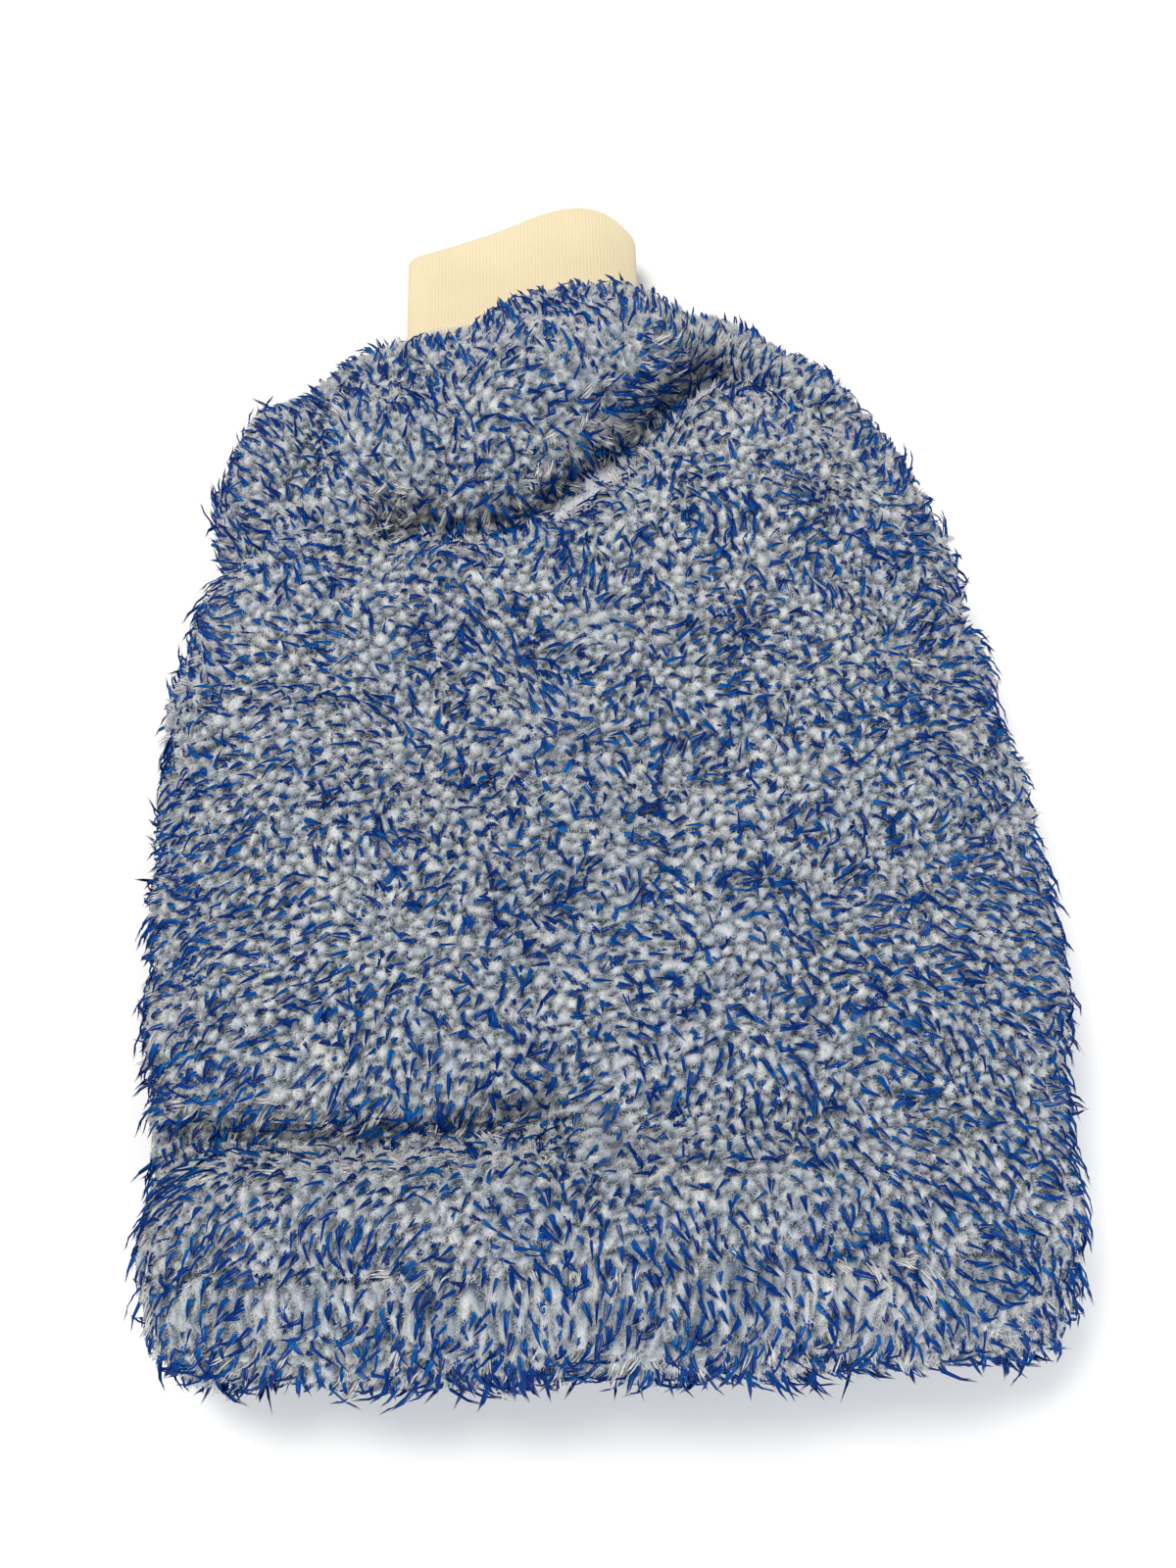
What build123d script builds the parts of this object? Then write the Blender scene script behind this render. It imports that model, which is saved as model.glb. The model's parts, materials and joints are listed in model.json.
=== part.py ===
"""Plush car-wash mitt: a padded pocket of two plush panels with an elastic rib-knit cuff.

Millimetres. The mitt lies palm side down on Z = 0 with its cuff towards +Y.
The origin is the middle of the mitt's footprint. Lengths along the mitt are
measured from the throat, where the cuff joins, towards the finger end.
"""

from build123d import *
from math import cos, radians, sin
import os

os.makedirs("parts", exist_ok=True)

# --- overall size ---
overall_length = 290.0
plush_length = 244.0
plush_half_width = 101.0
top_height = 32.0  # mid-plane to the top of the pile
bottom_height = 27.0  # mid-plane to the uncompressed underside
mid_z = 24.0  # seam line; the 3 mm left over is pressed flat at Z = 0

throat_y = plush_length - overall_length / 2
mouth_y = overall_length / 2
throat_x = -16.0  # the cuff sits a little to one side

# --- layers, from the outside in ---
pile_depth = 12.0
backing_thickness = 1.0
padding_thickness = 5.0
lining_thickness = 0.8
layer_gap = 0.1

backing_inset = pile_depth + layer_gap
padding_inset = backing_inset + backing_thickness + layer_gap
lining_inset = padding_inset + padding_thickness + layer_gap
pocket_inset = lining_inset + lining_thickness

# --- plush outline: distance from throat, half width, top, bottom, centre x ---
stations = [
    (0.0, 42.0, 17.0, 13.0, throat_x),
    (10.0, 60.0, 20.5, 17.0, -14.0),
    (30.0, 76.0, 25.0, 21.5, -9.0),
    (65.0, 87.0, 29.5, 25.5, -4.5),
    (105.0, 96.0, 31.5, 26.5, -2.0),
    (150.0, plush_half_width, top_height, bottom_height, 0.0),
    (198.0, 100.5, 31.5, 26.5, 0.0),
    (224.0, 98.5, 28.0, 24.0, 0.0),
    (236.0, 95.0, 22.0, 19.5, 0.0),
    (plush_length, 87.0, 13.0, 12.0, 0.0),
]

# --- seams ---
seam_width = 3.0
seam_half_thickness = 1.6
seam_clearance = 0.2
lining_seam_depth = 1.2
stitch_radius = 0.45
seam_stitch_half_length = 1.4  # inside the seam allowance
seam_stitch_pitch = 5.0
seam_stitch_start = 14.0  # nearer the throat the seam allowance is too narrow for thread

# --- bristles ---
bristle_radius = 0.7
bristle_length = 17.0
bristle_inset = 11.0
top_bristle_angles = range(15, 166, 15)
bottom_bristle_angles = (12, 24, 156, 168)

# --- cuff ---
cuff_gap = 5.0  # room for the collar strip between throat and cuff
cuff_root_y = throat_y + cuff_gap
cuff_root_width, cuff_root_height, cuff_root_z = 63.0, 18.0, 21.0
cuff_mouth_width, cuff_mouth_height, cuff_mouth_z = 65.0, 16.0, 11.0
knit_thickness = 1.1
knit_gap = 0.9
fold_depth = 1.5
band_clearance = 0.15
band_length = 3.0
band_count = 4
side_seam_width = 3.0
side_seam_depth = 0.8
join_stitch_pitch = 4.0
join_stitch_length = 2.8
join_stitch_lift = 0.2

# --- collar strip ---
collar_width, collar_height, collar_z = 66.0, 20.0, 24.0
collar_thickness = 1.0
collar_clearance = 0.2


def panel_shape(inset, distance_scaled, half_width, height, full_height):
    """One station of a layer set in by inset, shrunk about the throat's centre."""
    along = distance_scaled * (plush_length - inset) / plush_length
    across = half_width * (plush_half_width - inset) / plush_half_width
    up = height * (full_height - inset) / full_height
    return along, across, up


def panel_sections(inset, top):
    """Half-ellipse sections of the top or bottom half, set in by inset."""
    sections = []
    for distance, half_width, top_rise, bottom_drop, centre_x in stations:
        height, full = (top_rise, top_height) if top else (bottom_drop, bottom_height)
        along, across, up = panel_shape(inset, distance, half_width, height, full)
        shift = (centre_x - throat_x) * (plush_half_width - inset) / plush_half_width
        plane = Plane((throat_x + shift, throat_y - along, mid_z), x_dir=(1, 0, 0), z_dir=(0, -1, 0))
        with BuildSketch(plane, mode=Mode.PRIVATE) as section:
            with BuildLine():
                start = 0 if top else 180
                EllipticalCenterArc((0, 0), across, up, start_angle=start, arc_size=180)
                Line((-across, 0), (across, 0))
            make_face()
        sections.append(section.sketch)
    return sections


def panel_layer(outer_inset, inner_inset, top):
    """One layer of a panel: open at the throat, closed round the finger end."""
    with BuildPart() as layer:
        loft(sections=panel_sections(outer_inset, top))
        loft(sections=panel_sections(inner_inset, top), mode=Mode.SUBTRACT)
    return layer


def seam_slab(half_thickness):
    """A level slab about the seam line, larger than the mitt."""
    with BuildPart() as slab:
        with Locations((0, 0, mid_z)):
            Box(3 * plush_half_width, 2 * overall_length, 2 * half_thickness)
    return slab.part


def cuff_section(share, shrink):
    """The cuff's flattened outline at a share of the way from root to mouth."""
    y = cuff_root_y + share * (mouth_y - cuff_root_y)
    z = cuff_root_z + share * (cuff_mouth_z - cuff_root_z)
    width = cuff_root_width + share * (cuff_mouth_width - cuff_root_width)
    height = cuff_root_height + share * (cuff_mouth_height - cuff_root_height)
    plane = Plane((throat_x, y, z), x_dir=(1, 0, 0), z_dir=(0, 1, 0))
    with BuildSketch(plane, mode=Mode.PRIVATE) as section:
        SlotOverall(width - 2 * shrink, height - 2 * shrink)
    return section.sketch


def cuff_share(distance):
    """The share of the cuff's length at a distance from its root."""
    return distance / (mouth_y - cuff_root_y)


def cuff_tube(near, far, outer_shrink, inner_shrink):
    """A tube of cuff between two shares of its length and two depths in its wall."""
    with BuildPart() as tube:
        for shrink, mode in ((outer_shrink, Mode.ADD), (inner_shrink, Mode.SUBTRACT)):
            ends = [cuff_section(near, shrink), cuff_section(far, shrink)]
            loft(sections=ends, ruled=True, mode=mode)
    return tube.part


def surface_point(station, angle, inset, top):
    """A point on a layer's surface at one station, and the outward direction there."""
    distance, half_width, top_rise, bottom_drop, centre_x = station
    height, full = (top_rise, top_height) if top else (bottom_drop, bottom_height)
    along, across, up = panel_shape(inset, distance, half_width, height, full)
    shift = (centre_x - throat_x) * (plush_half_width - inset) / plush_half_width
    side = 1 if top else -1
    turn = radians(angle)
    point = (
        throat_x + shift + across * cos(turn),
        throat_y - along,
        mid_z + side * up * sin(turn),
    )
    outward = (up * cos(turn), 0, side * across * sin(turn))
    return point, outward


# --- panels: pile, backing, padding and lining, top and bottom ---
# Each pile keeps clear of the turned-in seam allowance beside the seam line.
seam_outer_inset = pile_depth - seam_width - seam_clearance
with BuildPart() as seam_room:
    for is_top in (True, False):
        loft(sections=panel_sections(seam_outer_inset - seam_clearance, is_top))
    for is_top in (True, False):
        loft(sections=panel_sections(pile_depth, is_top), mode=Mode.SUBTRACT)
    add(seam_slab(seam_half_thickness + seam_clearance), mode=Mode.INTERSECT)

with BuildPart() as top_pile:
    loft(sections=panel_sections(0, True))
    loft(sections=panel_sections(pile_depth, True), mode=Mode.SUBTRACT)
    add(seam_room.part, mode=Mode.SUBTRACT)
top_pile.part.label = "top_pile"
export_step(top_pile.part, "parts/top_pile.step")

with BuildPart() as bottom_pile:
    loft(sections=panel_sections(0, False))
    loft(sections=panel_sections(pile_depth, False), mode=Mode.SUBTRACT)
    add(seam_room.part, mode=Mode.SUBTRACT)
    split(bisect_by=Plane.XY, keep=Keep.TOP)
bottom_pile.part.label = "bottom_pile"
export_step(bottom_pile.part, "parts/bottom_pile.step")

inner_layers = [
    ("backing", backing_inset, backing_inset + backing_thickness),
    ("padding", padding_inset, padding_inset + padding_thickness),
    ("lining", lining_inset, pocket_inset),
]
for side_name, is_top in (("top", True), ("bottom", False)):
    for layer_name, outer_inset, inner_inset in inner_layers:
        node = f"{side_name}_{layer_name}"
        layer = panel_layer(outer_inset, inner_inset, is_top)
        layer.part.label = node
        export_step(layer.part, f"parts/{node}.step")

# --- seam allowance: the two panels' turned-in edges, sewn together ---
with BuildPart() as seam_allowance:
    for is_top in (True, False):
        loft(sections=panel_sections(seam_outer_inset, is_top))
    for is_top in (True, False):
        loft(sections=panel_sections(pile_depth - seam_clearance, is_top), mode=Mode.SUBTRACT)
    add(seam_slab(seam_half_thickness), mode=Mode.INTERSECT)
seam_allowance.part.label = "seam_allowance"
export_step(seam_allowance.part, "parts/seam_allowance.step")

# --- stitches: thread through the seam allowance, all round the edge ---
stitch_inset = (seam_outer_inset + pile_depth) / 2
with BuildPart() as stitch_guide:
    loft(sections=panel_sections(stitch_inset, True))
seam_face = stitch_guide.part.faces().sort_by(Axis.Z)[0]
sewn_edges = seam_face.edges().sort_by(Axis.Y)[:-1]  # all but the open throat
with BuildPart() as panel_seam_stitches:
    for edge in sewn_edges:
        stitch_total = round(edge.length / seam_stitch_pitch)
        for number in range(stitch_total):
            place = edge.position_at((number + 0.5) / stitch_total)
            if throat_y - place.Y > seam_stitch_start:
                with Locations(place):
                    Cylinder(stitch_radius, 2 * seam_stitch_half_length)
panel_seam_stitches.part.label = "panel_seam_stitches"
export_step(panel_seam_stitches.part, "parts/panel_seam_stitches.step")

# --- lining seam: a low rib round the pocket at the seam line ---
with BuildPart() as lining_seam:
    for is_top in (True, False):
        loft(sections=panel_sections(pocket_inset + layer_gap, is_top))
    for is_top in (True, False):
        loft(
            sections=panel_sections(pocket_inset + layer_gap + lining_seam_depth, is_top),
            mode=Mode.SUBTRACT,
        )
    add(seam_slab(lining_seam_depth), mode=Mode.INTERSECT)
lining_seam.part.label = "lining_seam"
export_step(lining_seam.part, "parts/lining_seam.step")

# --- bristles: stiff tufts rooted on the backing, standing through the pile ---
for side_name, is_top, angles in (
    ("top", True, top_bristle_angles),
    ("bottom", False, bottom_bristle_angles),
):
    with BuildPart() as bristles:
        for station in stations[1:-1]:
            for angle in angles:
                root, outward = surface_point(station, angle, bristle_inset, is_top)
                with BuildSketch(Plane(root, z_dir=outward)):
                    Circle(bristle_radius)
                extrude(amount=bristle_length)
        split(bisect_by=Plane.XY, keep=Keep.TOP)
    bristles.part.label = f"{side_name}_bristles"
    export_step(bristles.part, f"parts/{side_name}_bristles.step")

# --- collar strip: joins the throat to the cuff ---
with BuildPart() as collar_tape:
    for shrink, mode in ((0, Mode.ADD), (collar_thickness, Mode.SUBTRACT)):
        throat_end = Plane(
            (throat_x, throat_y + collar_clearance, collar_z), x_dir=(1, 0, 0), z_dir=(0, 1, 0)
        )
        cuff_end = Plane(
            (throat_x, cuff_root_y - collar_clearance, cuff_root_z),
            x_dir=(1, 0, 0),
            z_dir=(0, 1, 0),
        )
        with BuildSketch(throat_end, mode=Mode.PRIVATE) as wide_end:
            SlotOverall(collar_width - 2 * shrink, collar_height - 2 * shrink)
        with BuildSketch(cuff_end, mode=Mode.PRIVATE) as narrow_end:
            SlotOverall(cuff_root_width - 2 * shrink, cuff_root_height - 2 * shrink)
        loft(sections=[wide_end.sketch, narrow_end.sketch], ruled=True, mode=mode)
collar_tape.part.label = "collar_tape"
export_step(collar_tape.part, "parts/collar_tape.step")

# --- cuff: one knit tube folded back into itself at the mouth ---
doubled_thickness = 2 * knit_thickness + knit_gap
fold_share = 1 - cuff_share(fold_depth)
between_layers = cuff_tube(0, fold_share, knit_thickness, knit_thickness + knit_gap)
with BuildPart() as cuff_knit:
    add(cuff_tube(0, 1, 0, doubled_thickness))
    add(between_layers, mode=Mode.SUBTRACT)
cuff_knit.part.label = "cuff_knit"
export_step(cuff_knit.part, "parts/cuff_knit.step")

# --- elastic bands laid between the cuff's two layers ---
band_pitch = (mouth_y - cuff_root_y - fold_depth) / band_count
band_outside = knit_thickness + band_clearance
band_inside = knit_thickness + knit_gap - band_clearance
with BuildPart() as cuff_elastic_bands:
    for number in range(band_count):
        middle = (number + 0.5) * band_pitch
        near = cuff_share(middle - band_length / 2)
        far = cuff_share(middle + band_length / 2)
        add(cuff_tube(near, far, band_outside, band_inside))
cuff_elastic_bands.part.label = "cuff_elastic_bands"
export_step(cuff_elastic_bands.part, "parts/cuff_elastic_bands.step")

# --- the cuff tube's closing seam, a flat strip inside one edge ---
with BuildPart() as cuff_side_seam:
    for share in (cuff_share(layer_gap), cuff_share(mouth_y - cuff_root_y - fold_depth)):
        box = cuff_section(share, doubled_thickness + layer_gap).bounding_box()
        middle_z = (box.min.Z + box.max.Z) / 2
        plane = Plane((box.min.X, box.min.Y, middle_z), x_dir=(1, 0, 0), z_dir=(0, 1, 0))
        with BuildSketch(plane):
            with Locations((side_seam_depth, 0)):
                Rectangle(side_seam_depth, side_seam_width)
    loft(ruled=True)
cuff_side_seam.part.label = "cuff_side_seam"
export_step(cuff_side_seam.part, "parts/cuff_side_seam.step")

# --- stitches that hold the cuff to the collar strip, above and below ---
flat_half_width = (cuff_root_width - cuff_root_height) / 2
stitch_columns = int(2 * flat_half_width / join_stitch_pitch)
stitch_rise = cuff_root_height / 2 + stitch_radius + join_stitch_lift
slope = Vector(0, mouth_y - cuff_root_y, cuff_mouth_z - cuff_root_z).normalized()
with BuildPart() as cuff_join_stitches:
    for column in range(stitch_columns + 1):
        x = throat_x - flat_half_width + column * join_stitch_pitch
        for side in (1, -1):
            start = (x, cuff_root_y + stitch_radius, cuff_root_z + side * stitch_rise)
            with BuildSketch(Plane(start, z_dir=slope)):
                Circle(stitch_radius)
            extrude(amount=join_stitch_length)
cuff_join_stitches.part.label = "cuff_join_stitches"
export_step(cuff_join_stitches.part, "parts/cuff_join_stitches.step")
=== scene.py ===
import json
import math

import bpy
import numpy as np
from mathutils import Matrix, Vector
from mathutils.kdtree import KDTree


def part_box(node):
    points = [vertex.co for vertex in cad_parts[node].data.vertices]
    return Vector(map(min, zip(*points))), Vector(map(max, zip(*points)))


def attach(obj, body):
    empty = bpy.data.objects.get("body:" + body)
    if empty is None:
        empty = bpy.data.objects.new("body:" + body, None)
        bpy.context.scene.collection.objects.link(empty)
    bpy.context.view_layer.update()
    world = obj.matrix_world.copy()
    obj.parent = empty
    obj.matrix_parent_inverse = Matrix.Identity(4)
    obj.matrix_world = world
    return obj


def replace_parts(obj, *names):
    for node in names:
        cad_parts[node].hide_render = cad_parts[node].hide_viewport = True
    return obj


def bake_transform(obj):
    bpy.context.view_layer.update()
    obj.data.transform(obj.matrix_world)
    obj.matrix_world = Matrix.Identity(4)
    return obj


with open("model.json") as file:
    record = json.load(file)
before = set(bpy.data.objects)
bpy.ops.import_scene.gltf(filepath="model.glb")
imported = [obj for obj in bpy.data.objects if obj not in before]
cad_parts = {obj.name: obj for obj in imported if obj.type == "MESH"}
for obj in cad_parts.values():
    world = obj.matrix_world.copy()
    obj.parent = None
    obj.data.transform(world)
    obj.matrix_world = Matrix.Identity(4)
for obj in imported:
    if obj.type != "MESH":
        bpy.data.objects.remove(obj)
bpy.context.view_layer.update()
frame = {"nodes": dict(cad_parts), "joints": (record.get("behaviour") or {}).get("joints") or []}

MM = 0.001


# --------------------------------------------------------------- the frame's own sizes
pile_low, pile_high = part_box("top_pile")
backing_low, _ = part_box("top_backing")
cuff_low, cuff_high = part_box("cuff_knit")
THROAT_Y = pile_high.y
MID_Z = backing_low.z
TIP_Y = backing_low.y
HALF_WIDTH = (pile_high.x - pile_low.x) / 2
CUFF_ROOT_Y, CUFF_MOUTH_Y = cuff_low.y, cuff_high.y
CUFF_X = (cuff_low.x + cuff_high.x) / 2
HINGE = Vector(frame["joints"][0]["pos_m"])
BEND_START = (HINGE.x, HINGE.y - 20 * MM, HINGE.z)


# --------------------------------------------------------------- small numeric helpers
def follow(piece):
    """Rides the mitt, or, if the piece reaches into the bend by the cuff's joint, keeps its place with its
    transform baked in.
    """
    if max(corner[1] for corner in piece.bound_box) > BEND_START[1]:
        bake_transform(piece)
    else:
        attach(piece, "mitt")


def unit(vectors):
    """Each row made one long."""
    return vectors / np.maximum(np.linalg.norm(vectors, axis=-1, keepdims=True), 1e-12)


def smooth(low, high, value):
    """0 below low, 1 above high, smooth between."""
    t = np.clip((value - low) / (high - low), 0, 1)
    return t * t * (3 - 2 * t)


def waves(points, wavelength, seed, count=7):
    """Seeded smooth noise of about -1 to 1 from a few crossing waves."""
    rng = np.random.default_rng(seed)
    total = np.zeros(len(points))
    for _ in range(count):
        heading = unit(rng.normal(size=3))
        pitch = wavelength * rng.uniform(0.7, 1.5)
        total += np.sin(points @ heading * (2 * math.pi / pitch) + rng.uniform(0, 6.28))
    return total / math.sqrt(count)


# --------------------------------------------------------------- mesh making
def make_mesh(name, vertices, faces, material=None):
    mesh = bpy.data.meshes.new(name)
    mesh.from_pydata([tuple(v) for v in vertices], [], [tuple(f) for f in faces])
    mesh.update()
    piece = bpy.data.objects.new(name, mesh)
    bpy.context.scene.collection.objects.link(piece)
    if material:
        mesh.materials.append(material)
    for polygon in mesh.polygons:
        polygon.use_smooth = True
    return piece


def grid_faces(rows, columns, closed=True, flip=False, wrap=False):
    """Quads over a grid of vertices. closed joins the last column to the first, wrap the rows."""
    faces = []
    for r in range(rows if wrap else rows - 1):
        q = (r + 1) % rows
        for c in range(columns if closed else columns - 1):
            d = (c + 1) % columns
            quad = (r * columns + c, r * columns + d, q * columns + d, q * columns + c)
            faces.append(quad[::-1] if flip else quad)
    return faces


def closed_shell(name, outer, inner, material):
    """A closed solid between two open grids of points of the same size."""
    rows, columns, _ = outer.shape
    size = rows * columns
    faces = grid_faces(rows, columns, closed=False)
    faces += [tuple(size + i for i in f[::-1]) for f in faces]
    rim = [(0, c) for c in range(columns)]
    rim += [(r, columns - 1) for r in range(1, rows)]
    rim += [(rows - 1, c) for c in range(columns - 2, -1, -1)]
    rim += [(r, 0) for r in range(rows - 2, 0, -1)]
    rim = [r * columns + c for r, c in rim]
    for a, b in zip(rim, rim[1:] + rim[:1]):
        faces.append((b, a, size + a, size + b))
    points = np.concatenate([outer.reshape(-1, 3), inner.reshape(-1, 3)])
    return make_mesh(name, points, faces, material)


def strand_mesh(name, paths, radii, sides, tone, material, seed, shares, lumpiness=0.0):
    """Many closed strands in one mesh.

    paths is (strands, rings, 3), its last ring being the tip point; radii is
    (strands, rings - 1); shares says how far along the strand each ring is. Each strand
    is a ring-stacked tube with a closed root and a point at its tip.
    Attributes: along, 0 root to 1 tip, and tone, one value a strand.
    """
    rng = np.random.default_rng(seed)
    count, rings, _ = paths.shape
    tube = rings - 1
    tangent = np.gradient(paths, axis=1)[:, :tube]
    tangent = unit(tangent)
    reference = unit(rng.normal(size=(count, 1, 3)))
    side = unit(np.cross(tangent, reference))
    other = np.cross(side, tangent)
    angle = np.arange(sides) * 2 * math.pi / sides
    wobble = 1 + lumpiness * rng.uniform(-1, 1, size=(count, tube, sides))
    reach = radii[:, :, None] * wobble
    ring = (
        paths[:, :tube, None, :]
        + (reach * np.cos(angle))[..., None] * side[:, :, None, :]
        + (reach * np.sin(angle))[..., None] * other[:, :, None, :]
    )
    per = tube * sides + 1
    vertices = np.empty((count, per, 3), np.float32)
    vertices[:, : tube * sides] = ring.reshape(count, tube * sides, 3)
    vertices[:, -1] = paths[:, -1]

    # one strand's faces, then the same again for each strand
    corners, starts, uv = [], [], []
    for r in range(tube - 1):
        for k in range(sides):
            n = (k + 1) % sides
            starts.append(len(corners))
            corners += [r * sides + k, r * sides + n, (r + 1) * sides + n, (r + 1) * sides + k]
            uv += [(k, r), (k + 1, r), (k + 1, r + 1), (k, r + 1)]
    for k in range(sides):
        starts.append(len(corners))
        corners += [(tube - 1) * sides + k, (tube - 1) * sides + (k + 1) % sides, per - 1]
        uv += [(k, tube - 1), (k + 1, tube - 1), (k + 0.5, tube)]
    starts.append(len(corners))
    corners += [k for k in range(sides)][::-1]
    uv += [(k + 0.5, -0.5 + 0.4 * (k % 2)) for k in range(sides)][::-1]
    corners, starts = np.array(corners), np.array(starts)
    uv = np.array(uv, float)

    mesh = bpy.data.meshes.new(name)
    mesh.vertices.add(count * per)
    mesh.vertices.foreach_set("co", vertices.ravel())
    offset = np.arange(count)[:, None]
    loops = (corners[None, :] + offset * per).astype(np.int32)
    mesh.loops.add(loops.size)
    mesh.loops.foreach_set("vertex_index", loops.ravel())
    loop_starts = (starts[None, :] + offset * len(corners)).astype(np.int32)
    mesh.polygons.add(loop_starts.size)
    mesh.polygons.foreach_set("loop_start", loop_starts.ravel())
    mesh.polygons.foreach_set("use_smooth", np.ones(loop_starts.size, bool))
    mesh.update(calc_edges=True)

    # each strand has its own cell of the bake map
    cells = math.ceil(math.sqrt(count))
    column, row = np.arange(count) % cells, np.arange(count) // cells
    margin = 0.08
    cell_u = margin + (1 - 2 * margin) * uv[:, 0] / sides
    cell_v = margin + (1 - 2 * margin) * (uv[:, 1] + 0.5) / (tube + 0.5)
    layer = mesh.uv_layers.new(name="OFBake")
    placed = np.empty((count, len(corners), 2), np.float32)
    placed[..., 0] = (column[:, None] + cell_u) / cells
    placed[..., 1] = (row[:, None] + cell_v) / cells
    layer.data.foreach_set("uv", placed.ravel())

    along = np.tile(np.append(np.repeat(shares[:tube], sides), 1.0), count)
    for label, values in (("along", along), ("tone", np.repeat(tone, per))):
        attribute = mesh.attributes.new(label, "FLOAT", "POINT")
        attribute.data.foreach_set("value", values.astype(np.float32))
    mesh.materials.append(material)
    piece = bpy.data.objects.new(name, mesh)
    bpy.context.scene.collection.objects.link(piece)
    return piece


def fibre_mesh(name, roots, tips, radii, tone, base, material, seed):
    """Many short fibres in one mesh, each a slender closed three-sided cone."""
    rng = np.random.default_rng(seed)
    count = len(roots)
    forward = unit(tips - roots)
    side = unit(np.cross(forward, rng.normal(size=(count, 3))))
    other = np.cross(side, forward)
    vertices = np.empty((count, 4, 3), np.float32)
    for k in range(3):
        turn = 2 * math.pi * k / 3
        reach = side * math.cos(turn) + other * math.sin(turn)
        vertices[:, k] = roots + reach * radii[:, None]
    vertices[:, 3] = tips
    corners = np.array([0, 1, 3, 1, 2, 3, 2, 0, 3, 2, 1, 0])
    uv = np.array(
        [(0, 0), (1, 0), (0.5, 1), (1, 0), (2, 0), (1.5, 1), (2, 0), (3, 0), (2.5, 1)]
        + [(1, -0.3), (2, -0.3), (1.5, 0)]
    )
    mesh = bpy.data.meshes.new(name)
    mesh.vertices.add(count * 4)
    mesh.vertices.foreach_set("co", vertices.ravel())
    loops = (corners[None, :] + np.arange(count)[:, None] * 4).astype(np.int32)
    mesh.loops.add(loops.size)
    mesh.loops.foreach_set("vertex_index", loops.ravel())
    mesh.polygons.add(count * 4)
    mesh.polygons.foreach_set("loop_start", np.arange(0, loops.size, 3, dtype=np.int32))
    mesh.polygons.foreach_set("use_smooth", np.ones(count * 4, bool))
    mesh.update(calc_edges=True)
    cells = math.ceil(math.sqrt(count))
    column, row = np.arange(count) % cells, np.arange(count) // cells
    layer = mesh.uv_layers.new(name="OFBake")
    placed = np.empty((count, 12, 2), np.float32)
    placed[..., 0] = (column[:, None] + 0.1 + 0.8 * uv[:, 0] / 3) / cells
    placed[..., 1] = (row[:, None] + 0.3 + 0.6 * uv[:, 1]) / cells
    layer.data.foreach_set("uv", placed.ravel())
    along = np.stack([base, base, base, np.ones(count)], axis=1).ravel()
    for label, values in (("along", along), ("tone", np.repeat(tone, 4))):
        attribute = mesh.attributes.new(label, "FLOAT", "POINT")
        attribute.data.foreach_set("value", values.astype(np.float32))
    mesh.materials.append(material)
    piece = bpy.data.objects.new(name, mesh)
    bpy.context.scene.collection.objects.link(piece)
    return piece


# --------------------------------------------------------------- materials
def new_material(name):
    material = bpy.data.materials.new(name)
    material.use_nodes = True
    tree = material.node_tree
    return material, tree, tree.nodes["Principled BSDF"]


def ramp(tree, source, stops):
    made = tree.nodes.new("ShaderNodeValToRGB")
    while len(made.color_ramp.elements) < len(stops):
        made.color_ramp.elements.new(0.5)
    for element, (place, colour) in zip(made.color_ramp.elements, stops):
        element.position = place
        element.color = (*colour, 1)
    tree.links.new(source, made.inputs["Fac"])
    return made.outputs["Color"]


def mix(tree, factor, a, b, mode="MIX"):
    """Mixes two colours; each input is a socket, a number or an RGB tuple."""
    made = tree.nodes.new("ShaderNodeMix")
    made.data_type = "RGBA"
    made.blend_type = mode
    sockets = [made.inputs[0], made.inputs[6], made.inputs[7]]
    for socket, value in zip(sockets, (factor, a, b)):
        if isinstance(value, bpy.types.NodeSocket):
            tree.links.new(value, socket)
        elif isinstance(value, tuple):
            socket.default_value = (*value, 1)
        else:
            socket.default_value = value
    return made.outputs[2]


def noise_texture(tree, scale, detail=3.0, distortion=0.0):
    made = tree.nodes.new("ShaderNodeTexNoise")
    made.inputs["Scale"].default_value = scale
    made.inputs["Detail"].default_value = detail
    made.inputs["Distortion"].default_value = distortion
    place = tree.nodes.new("ShaderNodeTexCoord")
    tree.links.new(place.outputs["Object"], made.inputs["Vector"])
    return made.outputs["Fac"]


def bump(tree, shader, height, strength, distance):
    made = tree.nodes.new("ShaderNodeBump")
    made.inputs["Strength"].default_value = strength
    made.inputs["Distance"].default_value = distance
    tree.links.new(height, made.inputs["Height"])
    tree.links.new(made.outputs["Normal"], shader.inputs["Normal"])


def attribute(tree, label):
    made = tree.nodes.new("ShaderNodeAttribute")
    made.attribute_name = label
    return made.outputs["Fac"]


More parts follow.
